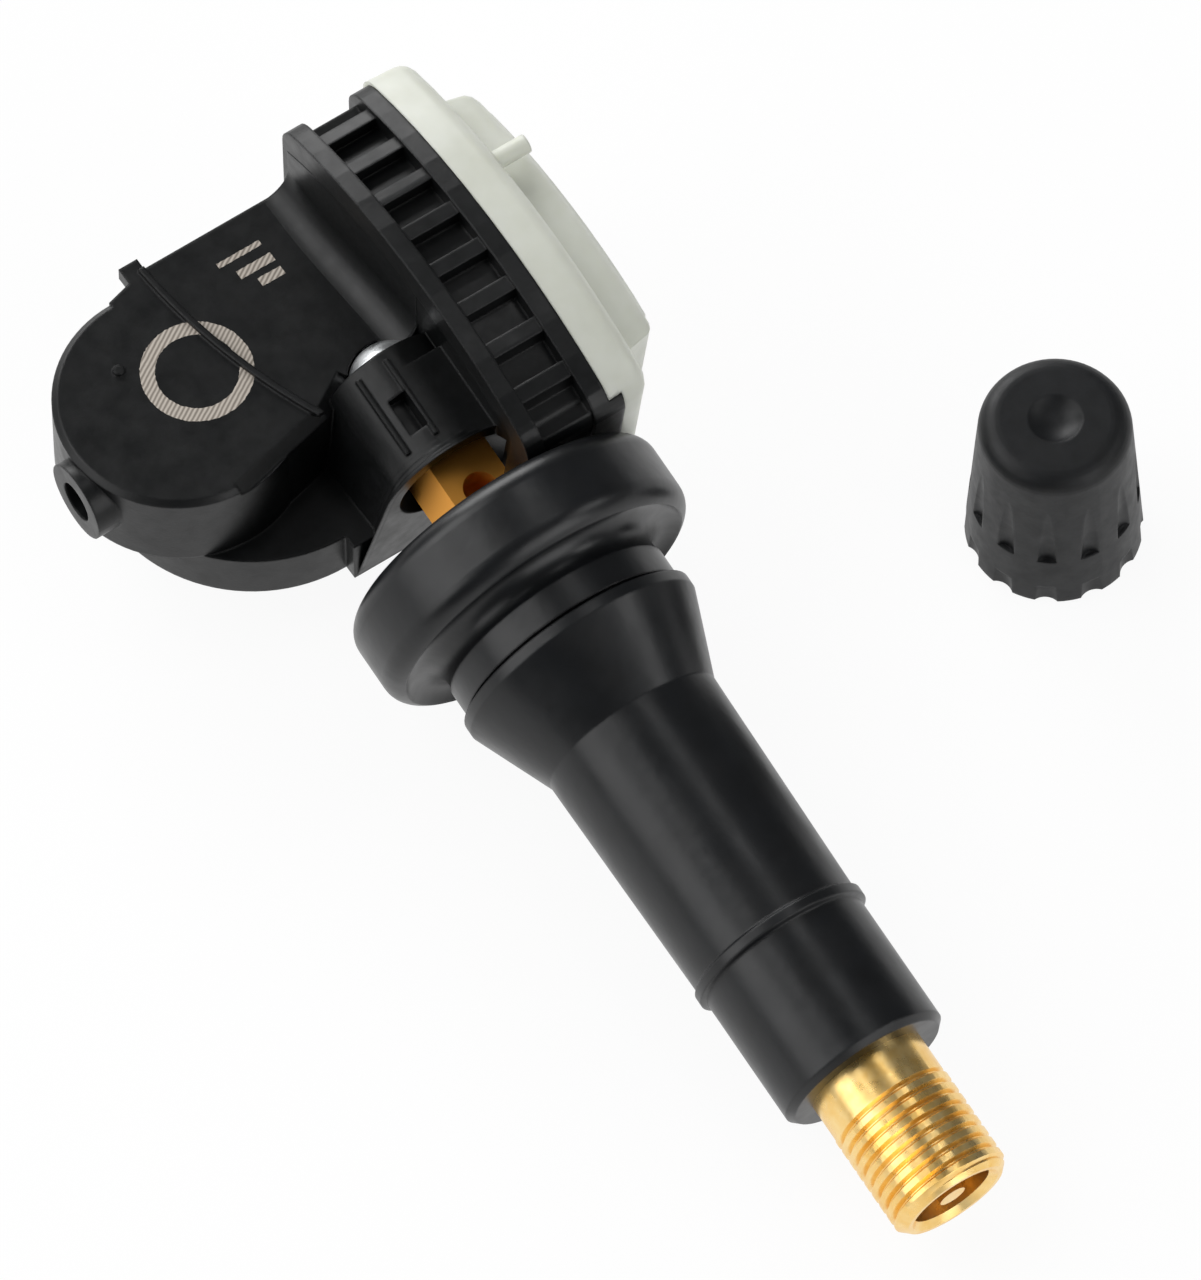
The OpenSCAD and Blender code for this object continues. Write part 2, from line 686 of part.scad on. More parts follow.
module fixing_screw() color("#c9cccd") difference() {
    union() {
        rod(0, screw_l, screw_d);
        screw_head();
    }
    on_stem(-head_h - eps) for (a = [0, 60, 120]) rotate(a)
        translate([-1, -0.3, 0]) cube([2, 0.6, 0.9]);
}

module brass_stem() color("#d9a441") difference() {
    union() {
        square_bar(seat_wall, seat_to_flange + 1.2, square_w);
        rod(seat_to_flange + 0.6, sleeve_end, bond_d);
        rod(sleeve_end, thread_start, land_d);
        rod(thread_start, mouth - mouth_chamfer, thread_d);
        rod(mouth - mouth_chamfer, mouth, thread_d, thread_d - 2 * mouth_chamfer);
    }
    rod(seat_wall - 1, screw_l + 0.6, screw_d);
    rod(cross_hole_at, chamber_end, air_d);
    rod(chamber_end, seat_cone - cone_l, chamber_d);
    rod(seat_cone - cone_l, seat_cone, chamber_d, core_bore_d);
    rod(seat_cone, mouth + 1, core_bore_d);
    rod(mouth - 0.4, mouth, core_bore_d, core_bore_d + 0.8);
    on_stem(cross_hole_at) rotate([0, -90, -square_roll]) cylinder(h = 5, d = cross_hole_d);
    on_stem(cross_hole_at) sphere(d = air_d);
}

// Half section of the rubber, as [radius, station] from the flange's back face
module rubber_section() {
    r = flange_round;
    edge = flange_d / 2;
    dish_mid = (neck_d / 2 + edge) / 2 - 0.4;
    difference() {
        union() {
            translate([0, 0]) square([edge - r, flange_t]);
            translate([0, r]) square([edge, flange_t - 2 * r]);
            for (y = [r, flange_t - r]) translate([edge - r, y]) circle(r, $fn = 32);
            polygon([[0, flange_t - eps], [neck_d / 2, flange_t - eps],
                [neck_d / 2, flange_t + neck_l - 0.3], [neck_d / 2 - 0.35, flange_t + neck_l - 0.3],
                [neck_d / 2 - 0.35, flange_t + neck_l], [barb_d / 2, flange_t + neck_l],
                [barb_d / 2, flange_t + neck_l + 0.7],
                [shaft_top_d / 2, barb_end - seat_to_flange],
                [shaft_end_d / 2, shaft_end - seat_to_flange],
                [bead_d / 2, shaft_end - seat_to_flange + 0.15],
                [bead_d / 2, bead_end - seat_to_flange - 0.15],
                [sleeve_d / 2, bead_end - seat_to_flange],
                [sleeve_d / 2, sleeve_end - seat_to_flange - sleeve_chamfer],
                [sleeve_d / 2 - sleeve_chamfer, sleeve_end - seat_to_flange],
                [0, sleeve_end - seat_to_flange]]);
        }
        translate([dish_mid, flange_t + 0.6]) circle(0.6 + flange_dish, $fn = 32);
        translate([-1, -1]) square([1 + bond_d / 2, 100]);
    }
}

module rubber_stem() color("#17181a") difference() {
    union() {
        on_stem(seat_to_flange) rotate_extrude($fn = 64) rubber_section();
        rod(seat_to_flange, seat_to_flange + 0.6, bond_d);
    }
    square_bar(seat_to_flange - 1, seat_to_flange + 0.6, square_w);
}

module core_plug() color("#caa252") difference() {
    union() {
        rod(plug_end, plug_out - 1.8, core_bore_d - 2 * core_gap);
        rod(plug_out - 1.8, plug_out, barrel_d);
    }
    rod(plug_end - 1, plug_out + 1, 2);
    for (side = [-1, 1]) on_stem(plug_out - 1.7)
        translate([side * 2.4 - 1, -3, 0]) cube([2, 6, 3]);
}

module core_barrel() color("#c0994a") difference() {
    rod(barrel_end, plug_end, barrel_d);
    rod(shoulder, plug_end + 1, 2.6);
    rod(barrel_end - 1, shoulder + 1, 1.6);
}

module core_gasket() color("#a02c28") difference() {
    rod(seat_cone - cone_l, seat_cone, chamber_d, core_bore_d);
    rod(seat_cone - cone_l - 1, seat_cone + 1, barrel_d);
}

module valve_pin() color("#c7b27a") {
    rod(barrel_end - pin_foot, pin_head, pin_d);
    rod(pin_head - 0.6, pin_head, 1.7);
    rod(collar_station, collar_station + 0.5, 2.3);
    rod(barrel_end - pin_foot, barrel_end - 0.9, 3.2);
}

module pin_seal() color("#8f2f2a") difference() {
    rod(barrel_end - 0.9, barrel_end, 3);
    rod(barrel_end - 2, barrel_end + 1, pin_d);
}

// Helical spring between the barrel's shoulder and the pin's collar
module core_spring() color("#b8bcc0") {
    coil = 0.95;
    sides = 6;
    per_turn = 12;
    rings = spring_turns * per_turn;
    span = collar_station - shoulder - wire_d - 0.04;
    points = [for (i = [0 : rings], k = [0 : sides - 1])
        let (a = 360 * i / per_turn, b = 360 * k / sides, r = coil + wire_d / 2 * cos(b))
        [r * cos(a), r * sin(a), span * i / rings + wire_d / 2 * (1 + sin(b))]];
    walls = [for (i = [0 : rings - 1], k = [0 : sides - 1]) let (n = (k + 1) % sides)
        each [[i * sides + k, (i + 1) * sides + k, (i + 1) * sides + n],
              [i * sides + k, (i + 1) * sides + n, i * sides + n]]];
    ends = [[for (k = [0 : sides - 1]) k], [for (k = [sides - 1 : -1 : 0]) rings * sides + k]];
    on_stem(shoulder + 0.02) polyhedron(points = points, faces = concat(walls, ends));
}

module at_cap() placed() translate([cap_c[0], cap_c[1], 0]) children();

module valve_cap() color("#232427") at_cap() difference() {
    edge = 1.3;
    lean = atan2((cap_base_d - cap_top_d) / 2, cap_h);
    top_r = cap_top_d / 2 + 0.2;
    rotate_extrude($fn = 64) polygon(concat([[0, 0], [cap_base_d / 2, 0]],
        arc([top_r - edge, cap_h - edge], edge, lean, 90, 7), [[0, cap_h]]));
    translate([0, 0, -1]) cylinder(h = cap_h - cap_roof + 1, d = cap_bore_d);
    translate([0, 0, -eps]) cylinder(h = 0.6, d1 = cap_bore_d + 1, d2 = cap_bore_d);
    translate([0, 0, cap_h + 1.9]) sphere(r = 2.5);
    // Grooves with upright floors, deepest at the foot, and the scalloped foot
    for (i = [0 : cap_grips - 1]) rotate(360 * (i + 0.7) / cap_grips) {
        translate([cap_base_d / 2 + 0.15, 0, cap_foot]) cylinder(h = cap_h, d = grip_w, $fn = 24);
        translate([cap_base_d / 2 + 0.75, 0, -1]) cylinder(h = 2.5, d = 2.1, $fn = 24);
    }
}

module cap_seal() color("#5a5d60") at_cap() difference() {
    translate([0, 0, cap_h - cap_roof - cap_seal_t]) cylinder(h = cap_seal_t, d = cap_bore_d);
    translate([0, 0, cap_h - cap_roof - 2]) cylinder(h = 3, d = 3);
}

housing();
potted_cover();
circuit_board();
pressure_sensor();
port_gasket();
controller_chip();
crystal();
capacitors();
coil_core();
coil_winding();
rf_antenna();
coin_cell();
cell_tab_plus();
cell_tab_minus();
fixing_screw();
brass_stem();
rubber_stem();
core_plug();
core_barrel();
core_gasket();
valve_pin();
pin_seal();
core_spring();
valve_cap();
cap_seal();
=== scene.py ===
import json
import math

import bpy
from mathutils import Matrix, Vector


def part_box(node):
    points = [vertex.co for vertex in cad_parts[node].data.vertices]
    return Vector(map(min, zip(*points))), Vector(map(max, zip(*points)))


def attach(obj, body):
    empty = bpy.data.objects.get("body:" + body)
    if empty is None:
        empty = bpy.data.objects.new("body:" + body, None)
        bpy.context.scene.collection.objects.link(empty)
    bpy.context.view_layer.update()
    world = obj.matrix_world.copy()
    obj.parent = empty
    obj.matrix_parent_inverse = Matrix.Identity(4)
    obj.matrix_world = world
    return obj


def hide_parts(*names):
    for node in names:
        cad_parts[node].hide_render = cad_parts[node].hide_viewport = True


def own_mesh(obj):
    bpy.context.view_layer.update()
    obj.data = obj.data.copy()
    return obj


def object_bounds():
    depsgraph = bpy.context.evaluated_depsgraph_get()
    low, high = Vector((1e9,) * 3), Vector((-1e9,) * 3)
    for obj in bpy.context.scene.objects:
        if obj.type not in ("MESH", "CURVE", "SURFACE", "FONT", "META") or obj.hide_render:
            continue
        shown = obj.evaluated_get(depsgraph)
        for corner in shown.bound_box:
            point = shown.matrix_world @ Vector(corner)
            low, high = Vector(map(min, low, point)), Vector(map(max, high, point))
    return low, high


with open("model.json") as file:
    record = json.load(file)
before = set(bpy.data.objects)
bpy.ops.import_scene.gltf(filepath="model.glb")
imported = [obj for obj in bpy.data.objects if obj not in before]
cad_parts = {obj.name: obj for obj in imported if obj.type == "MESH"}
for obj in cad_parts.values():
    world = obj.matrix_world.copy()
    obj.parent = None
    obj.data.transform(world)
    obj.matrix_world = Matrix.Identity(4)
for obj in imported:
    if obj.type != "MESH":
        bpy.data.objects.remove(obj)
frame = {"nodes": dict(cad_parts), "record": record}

# Looks of a snap-in tyre pressure sensor and its dust cap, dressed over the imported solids.
# Sizes in the dictionaries are in mm unless a note says otherwise, and Blender's own are in metres.
mm = 0.001
cadBox = [list(corner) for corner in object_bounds()]
threadMount = next(mount for mount in frame["record"]["mounts"] if mount["name"] == "valve_thread")
stemAxis = Vector(threadMount["axis"]).normalized()
threadMiddle = Vector(threadMount["pos_m"])
threadLength = threadMount["dims"]["length_mm"] * mm
threadRadius = threadMount["dims"]["r_mm"] * mm
housingLow = Vector(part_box("housing")[0])
flatFaceHeight = 13.588     # mm, of the housing's flat face above its lowest point
weldDistance = 0.0008 * mm  # corners of a copied node that lie closer than this are one
print("frame loaded:", len(frame["nodes"]), "nodes")


def linearColour(hexColour):
    channels = [int(hexColour[i:i + 2], 16) / 255 for i in (1, 3, 5)]
    return tuple(c / 12.92 if c <= 0.04045 else ((c + 0.055) / 1.055) ** 2.4 for c in channels) + (1.0,)


colourA, colourB, mixedColour = 6, 7, 2  # sockets of a Mix node that mixes colours
valueA, valueB = 2, 3                    # sockets of a Mix node that mixes numbers


def addNode(tree, kind, settings=None, inputs=None):
    node = tree.nodes.new(kind)
    for name, value in (settings or {}).items():
        setattr(node, name, value)
    for name, value in (inputs or {}).items():
        if isinstance(value, bpy.types.NodeSocket):
            tree.links.new(value, node.inputs[name])
        else:
            node.inputs[name].default_value = value
    return node


def perMetre(sizeMm):
    return 1 / (sizeMm * mm)  # texture scale whose cells are about this many millimetres wide


def clearSelection():
    if bpy.context.object and bpy.context.object.mode != "OBJECT":
        bpy.ops.object.mode_set(mode="OBJECT")
    bpy.ops.object.select_all(action="DESELECT")


def pick(piece):
    clearSelection()
    piece.select_set(True)
    bpy.context.view_layer.objects.active = piece


def editMode(piece):
    pick(piece)
    bpy.ops.object.mode_set(mode="EDIT")
    bpy.ops.mesh.select_all(action="SELECT")


def objectMode():
    bpy.ops.object.mode_set(mode="OBJECT")


def applyAll(piece):
    pick(piece)
    for modifier in list(piece.modifiers):
        bpy.ops.object.modifier_apply(modifier=modifier.name)


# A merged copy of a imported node, free of the node's own marks, to be shaped or shaded anew
def copyOfNode(nodeName, pieceName):
    source = frame["nodes"][nodeName]
    piece = source.copy()
    piece.data = source.data.copy()
    piece.name = piece.data.name = pieceName
    for key in list(piece.keys()):
        del piece[key]
    piece.parent = None
    piece.matrix_world = Matrix.Identity(4)
    bpy.context.scene.collection.objects.link(piece)
    editMode(piece)
    bpy.ops.mesh.remove_doubles(threshold=weldDistance)
    objectMode()
    if piece.data.has_custom_normals:
        bpy.ops.mesh.customdata_custom_splitnormals_clear()
    return piece


def smoothBelow(piece, degrees):
    pick(piece)
    bpy.ops.object.shade_smooth_by_angle(angle=math.radians(degrees))


def dress(piece, material):
    piece.data.materials.clear()
    piece.data.materials.append(material)


# Local z runs along the stem to its open end, and local x points up, away from the floor
def stemFrame(distanceFromThreadMiddle):
    side = Vector((0, 1, 0))
    up = stemAxis.cross(side) * -1
    turn = Matrix((up, side, stemAxis)).transposed().to_4x4()
    return Matrix.Translation(threadMiddle + stemAxis * distanceFromThreadMiddle) @ turn


cameraView = {
    "azimuth": 57.415,     # degrees round from the front
    "elevation": 61.047,   # degrees above the floor
    "roll": -1.019,        # degrees that the picture is turned
    "target": (-0.881, -8.265, 13.705),  # what the middle of the picture shows
    "pixelsPerMm": 17.03,
    "imageHeight": 1280,   # pixels
    "distance": 1500.0,
    "sensor": 36.0,
    "clip": (0.05, 30.0),  # metres
}


def makeCamera():
    azimuth, elevation, roll = (math.radians(cameraView[key]) for key in ("azimuth", "elevation", "roll"))
    back = Vector((math.sin(azimuth) * math.cos(elevation), -math.cos(azimuth) * math.cos(elevation),
                   math.sin(elevation)))
    level = Vector((math.cos(azimuth), math.sin(azimuth), 0))
    upright = back.cross(level)
    right = level * math.cos(roll) + upright * math.sin(roll)
    turn = Matrix((right, back.cross(right), back)).transposed()
    halfHeight = cameraView["imageHeight"] / cameraView["pixelsPerMm"] / 2
    bpy.ops.object.camera_add(location=(Vector(cameraView["target"]) + back * cameraView["distance"]) * mm,
                              rotation=turn.to_euler())
    camera = bpy.context.object
    camera.name = "photoCamera"
    camera.data.sensor_width = cameraView["sensor"]
    camera.data.lens = cameraView["sensor"] / 2 * cameraView["distance"] / halfHeight
    camera.data.clip_start, camera.data.clip_end = cameraView["clip"]
    bpy.context.scene.camera = camera


floorLook = {"colour": "#fafafa", "size": 12.0, "ownLight": 0.93}  # size in metres
worldLook = {"colour": "#f2f5f8", "strength": 0.16}
lamps = [  # direction to the lamp, distance and size in metres, brightness of its face
    {"name": "overheadStrip", "toward": (-0.10, 0.25, 0.96), "distance": 0.60,
     "size": (0.20, 0.12), "bright": 2.2},
    {"name": "leftBank", "toward": (-0.22, -0.86, 0.46), "distance": 0.60,
     "size": (0.60, 0.36), "bright": 2.0},
    {"name": "leftUpperBank", "toward": (-0.42, -0.46, 0.78), "distance": 0.60,
     "size": (0.34, 0.34), "bright": 3.0},
    {"name": "farLeftWindow", "toward": (-0.90, 0.10, 0.42), "distance": 0.70,
     "size": (0.50, 0.40), "bright": 5.0},
    {"name": "backWindow", "toward": (0.39, 0.69, 0.61), "distance": 0.60,
     "size": (0.18, 0.18), "bright": 3.2},
    {"name": "rightBank", "toward": (0.88, 0.25, 0.42), "distance": 0.70,
     "size": (0.50, 0.50), "bright": 2.2},
]


# Pale paper that takes the object's shadow, and that the camera, metal and glass see as nearly white
def makeFloor():
    clearSelection()
    bpy.ops.mesh.primitive_plane_add(size=floorLook["size"], location=(0, 0, cadBox[0][2]))
    floor = bpy.context.object
    floor.name = "floor"
    material = bpy.data.materials.new("paleStudioPaper")
    material.use_nodes = True
    tree = material.node_tree
    tree.nodes.clear()
    paper = addNode(tree, "ShaderNodeBsdfDiffuse", inputs={"Color": linearColour(floorLook["colour"])})
    glow = addNode(tree, "ShaderNodeEmission", inputs={"Color": (1, 1, 1, 1), "Strength": 1.0})
    rays = addNode(tree, "ShaderNodeLightPath").outputs
    seen = rays["Is Camera Ray"]
    for ray in ("Is Glossy Ray", "Is Transmission Ray"):
        seen = addNode(tree, "ShaderNodeMath", {"operation": "MAXIMUM"}, {0: seen, 1: rays[ray]}).outputs[0]
    share = addNode(tree, "ShaderNodeMath", {"operation": "MULTIPLY"}, {0: seen, 1: floorLook["ownLight"]})
    mix = addNode(tree, "ShaderNodeMixShader",
                  inputs={0: share.outputs[0], 1: paper.outputs[0], 2: glow.outputs[0]})
    addNode(tree, "ShaderNodeOutputMaterial", inputs={"Surface": mix.outputs[0]})
    dress(floor, material)


def makeWorld():
    world = bpy.data.worlds.new("softRoom")
    bpy.context.scene.world = world
    world.use_nodes = True
    tree = world.node_tree
    tree.nodes.clear()
    room = addNode(tree, "ShaderNodeBackground",
                   inputs={"Color": linearColour(worldLook["colour"]), "Strength": worldLook["strength"]})
    addNode(tree, "ShaderNodeOutputWorld", inputs={"Surface": room.outputs[0]})


def makeLamps():
    for lamp in lamps:
        toward = Vector(lamp["toward"]).normalized()
        clearSelection()
        bpy.ops.object.light_add(type="AREA", location=toward * lamp["distance"],
                                 rotation=toward.to_track_quat("Z", "Y").to_euler())
        light = bpy.context.object
        light.name = lamp["name"]
        light.visible_camera = False
        light.data.shape = "RECTANGLE"
        light.data.size, light.data.size_y = lamp["size"]
        light.data.energy = lamp["bright"] * math.pi * lamp["size"][0] * lamp["size"][1]


softNoise = {  # the noise that every finish varies by
    "roughness": 0.6,            # how much its finer parts show
    "colourDetail": 3.0,
    "colourEnds": (0.32, 0.68),  # noise values at which each of the two colours is full
    "glossDetail": 4.0,
    "glossEnds": (0.3, 0.7),     # noise values at which each roughness is reached
    "grainDetail": 3.0,
    "edgeSamples": 4,
}


# Two colours mixed by a wide soft noise
def varyColour(tree, shader, place, colours, sizeMm):
    noise = addNode(tree, "ShaderNodeTexNoise", inputs={
        "Vector": place, "Scale": perMetre(sizeMm), "Detail": softNoise["colourDetail"],
        "Roughness": softNoise["roughness"]})
    ramp = addNode(tree, "ShaderNodeValToRGB", inputs={"Fac": noise.outputs["Fac"]})
    for element, position, colour in zip(ramp.color_ramp.elements, softNoise["colourEnds"], colours):
        element.position, element.color = position, linearColour(colour)
    tree.links.new(ramp.outputs["Color"], shader.inputs["Base Color"])
    return ramp.outputs["Color"]


def varyRoughness(tree, shader, place, ends, sizeMm):
    noise = addNode(tree, "ShaderNodeTexNoise", inputs={
        "Vector": place, "Scale": perMetre(sizeMm), "Detail": softNoise["glossDetail"],
        "Roughness": softNoise["roughness"]})
    spread = addNode(tree, "ShaderNodeMapRange", inputs={
        "Value": noise.outputs["Fac"], "From Min": softNoise["glossEnds"][0],
        "From Max": softNoise["glossEnds"][1], "To Min": ends[0], "To Max": ends[1]})
    tree.links.new(spread.outputs[0], shader.inputs["Roughness"])
    return spread.outputs[0]


# Bumps from fine grain and from wide waviness, over edges that are softened by a small radius
def roughen(tree, shader, place, grains, edgeMm):
    normal = addNode(tree, "ShaderNodeBevel", {"samples": softNoise["edgeSamples"]},
                     {"Radius": edgeMm * mm}).outputs["Normal"]
    for sizeMm, depthMm in grains:
        noise = addNode(tree, "ShaderNodeTexNoise", inputs={
            "Vector": place, "Scale": perMetre(sizeMm), "Detail": softNoise["grainDetail"],
            "Roughness": softNoise["roughness"]})
        normal = addNode(tree, "ShaderNodeBump", inputs={
            "Strength": 1.0, "Distance": depthMm * mm, "Height": noise.outputs["Fac"],
            "Normal": normal}).outputs["Normal"]
    tree.links.new(normal, shader.inputs["Normal"])


# A finish as its dictionary says: two colours and two roughnesses in soft patches, then any grains
def startFinish(name, look):
    material = bpy.data.materials.new(name)
    material.use_nodes = True
    tree = material.node_tree
    tree.nodes.clear()
    colour, roughness = look["under"]
    shader = addNode(tree, "ShaderNodeBsdfPrincipled", inputs={
        "Base Color": linearColour(colour), "Roughness": roughness, **look["sockets"]})
    addNode(tree, "ShaderNodeOutputMaterial", inputs={"Surface": shader.outputs[0]})
    place = addNode(tree, "ShaderNodeTexCoord").outputs["Object"]
    varied = varyColour(tree, shader, place, look["colours"], look["colourPatch"])
    spread = varyRoughness(tree, shader, place, look["roughness"], look["glossPatch"])
    if "grains" in look:
        roughen(tree, shader, place, look["grains"], look["softEdge"])
    return material, tree, shader, place, varied, spread


etchedMark = {  # places from the low corner of the housing's box
    "ringMiddle": (8.4, 9.9),
    "ringOuter": 3.4, "ringInner": 2.5,
    "bars": [  # middle, then length and width
        ((3.1, 16.3), (3.0, 0.36)),
        ((4.3, 16.7), (2.4, 0.62)),
        ((5.4, 17.1), (1.6, 0.62)),
    ],
    "barTurn": 90.0,      # degrees
    "stray": 0.14,        # how far the burnt edge wanders
    "strayPatch": 0.25,
    "strayDetail": 2.0,
    "passSpacing": 0.26,  # between the beam's passes, coarser than a real beam so that it shows
    "passTurn": 32.0,     # degrees
    "passWobble": 1.2,
    "passDetail": 2.0,
    "wavePeriod": 0.314,  # of a wave texture at a scale of 1, in its own units
    "faceMargin": 0.05,   # the mark lies within this of the flat face
    "colours": ("#7f776e", "#c2b9ae"),
    "roughness": 0.7,
}


def ringMask(tree, place, stray):
    x, y = etchedMark["ringMiddle"]
    outer, inner = etchedMark["ringOuter"], etchedMark["ringInner"]
    centred = addNode(tree, "ShaderNodeMapping", {"vector_type": "TEXTURE"}, {
        "Vector": place, "Location": (housingLow.x + x * mm, housingLow.y + y * mm, 0)})
    flat = addNode(tree, "ShaderNodeVectorMath", {"operation": "MULTIPLY"}, {
        0: centred.outputs[0], 1: (1, 1, 0)})
    away = addNode(tree, "ShaderNodeVectorMath", {"operation": "LENGTH"}, {0: flat.outputs[0]})
    reach = addNode(tree, "ShaderNodeMath", {"operation": "ADD"}, {0: away.outputs["Value"], 1: stray})
    return addNode(tree, "ShaderNodeMath", {"operation": "COMPARE"}, {
        0: reach.outputs[0], 1: (outer + inner) / 2 * mm, 2: (outer - inner) / 2 * mm}).outputs[0]


def barMask(tree, place, stray, middle, size):
    turned = addNode(tree, "ShaderNodeMapping", {"vector_type": "TEXTURE"}, {
        "Vector": place, "Rotation": (0, 0, math.radians(etchedMark["barTurn"])),
        "Location": (housingLow.x + middle[0] * mm, housingLow.y + middle[1] * mm, 0)})
    parts = addNode(tree, "ShaderNodeSeparateXYZ", inputs={"Vector": turned.outputs[0]})
    inLength = addNode(tree, "ShaderNodeMath", {"operation": "COMPARE"}, {
        0: parts.outputs["X"], 1: 0.0, 2: size[0] / 2 * mm})
    across = addNode(tree, "ShaderNodeMath", {"operation": "ADD"}, {0: parts.outputs["Y"], 1: stray})
    inWidth = addNode(tree, "ShaderNodeMath", {"operation": "COMPARE"}, {
        0: across.outputs[0], 1: 0.0, 2: size[1] / 2 * mm})
    return addNode(tree, "ShaderNodeMath", {"operation": "MULTIPLY"}, {
        0: inLength.outputs[0], 1: inWidth.outputs[0]}).outputs[0]


# Laser-etched marks on the flat face: a plain ring and three bars, pale, hatched by the beam's passes
def addEtchedMark(tree, shader, place, base, roughness):
    stray = etchedMark["stray"] * mm
    noise = addNode(tree, "ShaderNodeTexNoise", inputs={
        "Vector": place, "Scale": perMetre(etchedMark["strayPatch"]), "Detail": etchedMark["strayDetail"]})
    push = addNode(tree, "ShaderNodeMath", {"operation": "MULTIPLY_ADD"}, {
        0: noise.outputs["Fac"], 1: stray, 2: -stray / 2}).outputs[0]
    marked = ringMask(tree, place, push)
    for middle, size in etchedMark["bars"]:
        marked = addNode(tree, "ShaderNodeMath", {"operation": "MAXIMUM"}, {
            0: marked, 1: barMask(tree, place, push, middle, size)}).outputs[0]
    height = addNode(tree, "ShaderNodeSeparateXYZ", inputs={"Vector": place})
    onFace = addNode(tree, "ShaderNodeMath", {"operation": "COMPARE"}, {
        0: height.outputs["Z"], 1: housingLow.z + flatFaceHeight * mm, 2: etchedMark["faceMargin"] * mm})
    etched = addNode(tree, "ShaderNodeMath", {"operation": "MULTIPLY"}, {
        0: marked, 1: onFace.outputs[0]}).outputs[0]
    passes = addNode(tree, "ShaderNodeMapping", {"vector_type": "TEXTURE"}, {
        "Vector": place, "Rotation": (0, 0, math.radians(etchedMark["passTurn"]))})
    hatch = addNode(tree, "ShaderNodeTexWave", {"wave_type": "BANDS", "bands_direction": "X"}, {
        "Vector": passes.outputs[0], "Scale": etchedMark["wavePeriod"] * perMetre(etchedMark["passSpacing"]),
        "Distortion": etchedMark["passWobble"], "Detail": etchedMark["passDetail"], "Detail Scale": 1.0})
    dark, light = (linearColour(colour) for colour in etchedMark["colours"])
    pale = addNode(tree, "ShaderNodeMix", {"data_type": "RGBA"}, {
        "Factor": hatch.outputs["Fac"], colourA: dark, colourB: light})
    colour = addNode(tree, "ShaderNodeMix", {"data_type": "RGBA"}, {
        "Factor": etched, colourA: base, colourB: pale.outputs[mixedColour]})
    tree.links.new(colour.outputs[mixedColour], shader.inputs["Base Color"])
    rough = addNode(tree, "ShaderNodeMix", inputs={
        "Factor": etched, valueA: roughness, valueB: etchedMark["roughness"]})
    tree.links.new(rough.outputs[0], shader.inputs["Roughness"])


# Injection-moulded polyamide with glass fibre: near black, a fine spark-eroded grain, dull sheen
glassFilledNylon = {
    "under": ("#0c0d0d", 0.36),  # plain colour and roughness, below the patterns
    "sockets": {"IOR": 1.53, "Specular IOR Level": 0.28},
    "colours": ("#0b0c0c", "#101112"), "colourPatch": 0.5,
    "roughness": (0.30, 0.42), "glossPatch": 1.4,
    "grains": [(0.22, 0.006), (3.0, 0.02)],  # size and depth
    "softEdge": 0.22,
}


def makeGlassFilledNylon():
    material, tree, shader, place, base, roughness = startFinish("glassFilledNylon", glassFilledNylon)
    addEtchedMark(tree, shader, place, base, roughness)
    return material


# Moulded EPDM rubber: deep black with a soft skin gloss from the polished mould
epdmRubber = {
    "under": ("#0a0b0c", 0.34),
    "sockets": {"IOR": 1.52, "Specular IOR Level": 0.42},
    "colours": ("#08090b", "#0c0e11"), "colourPatch": 2.2,
    "roughness": (0.29, 0.38), "glossPatch": 2.6,
    "grains": [(0.5, 0.004), (5.0, 0.05)],
    "softEdge": 0.2,
}


def makeEpdmRubber():
    return startFinish("mouldedEpdmRubber", epdmRubber)[0]


# Cast polyurethane over the battery: milky, a little green, lit through at its edges
milkyPolyurethane = {
    "under": ("#d0d2c8", 0.38),
    "sockets": {"IOR": 1.5, "Subsurface Weight": 0.25, "Subsurface Radius": (1.0, 1.0, 0.8),
                "Subsurface Scale": 1.2 * mm},
    "colours": ("#cccec2", "#d6d8ce"), "colourPatch": 4.0,
    "roughness": (0.32, 0.46), "glossPatch": 1.8,
    "grains": [(0.6, 0.006), (4.0, 0.04)],
    "softEdge": 0.25,
}


def makeMilkyPolyurethane():
    return startFinish("castMilkyPolyurethane", milkyPolyurethane)[0]


# Turned brass, pale and bright: fine rings from the lathe tool run round the stem.
# The milled square in the socket is duller, and its deeper orange colour is painted shade: the warm cast of
# brass down in the socket.
turnedBrass = {
    "under": ("#fad284", 0.28),
    "sockets": {"Metallic": 1.0},
    "colours": ("#f6c872", "#fddd9a"), "colourPatch": 1.6,
    "roughness": (0.24, 0.36), "glossPatch": 0.9,
    "ringSpacing": 0.12, "ringDepth": 0.0012,  # of the tool marks along the stem
    "ringStretch": 0.04,                       # share of the noise's change that is left across the stem
    "ringDetail": 3.0,
    "milledReach": -13.0,                      # the milled square lies at a lower x than this
    # deeper orange, painted shade of the brass inside the socket
    "milledShadeColour": "#ffbc58",
    "milledRoughness": 0.60,
}


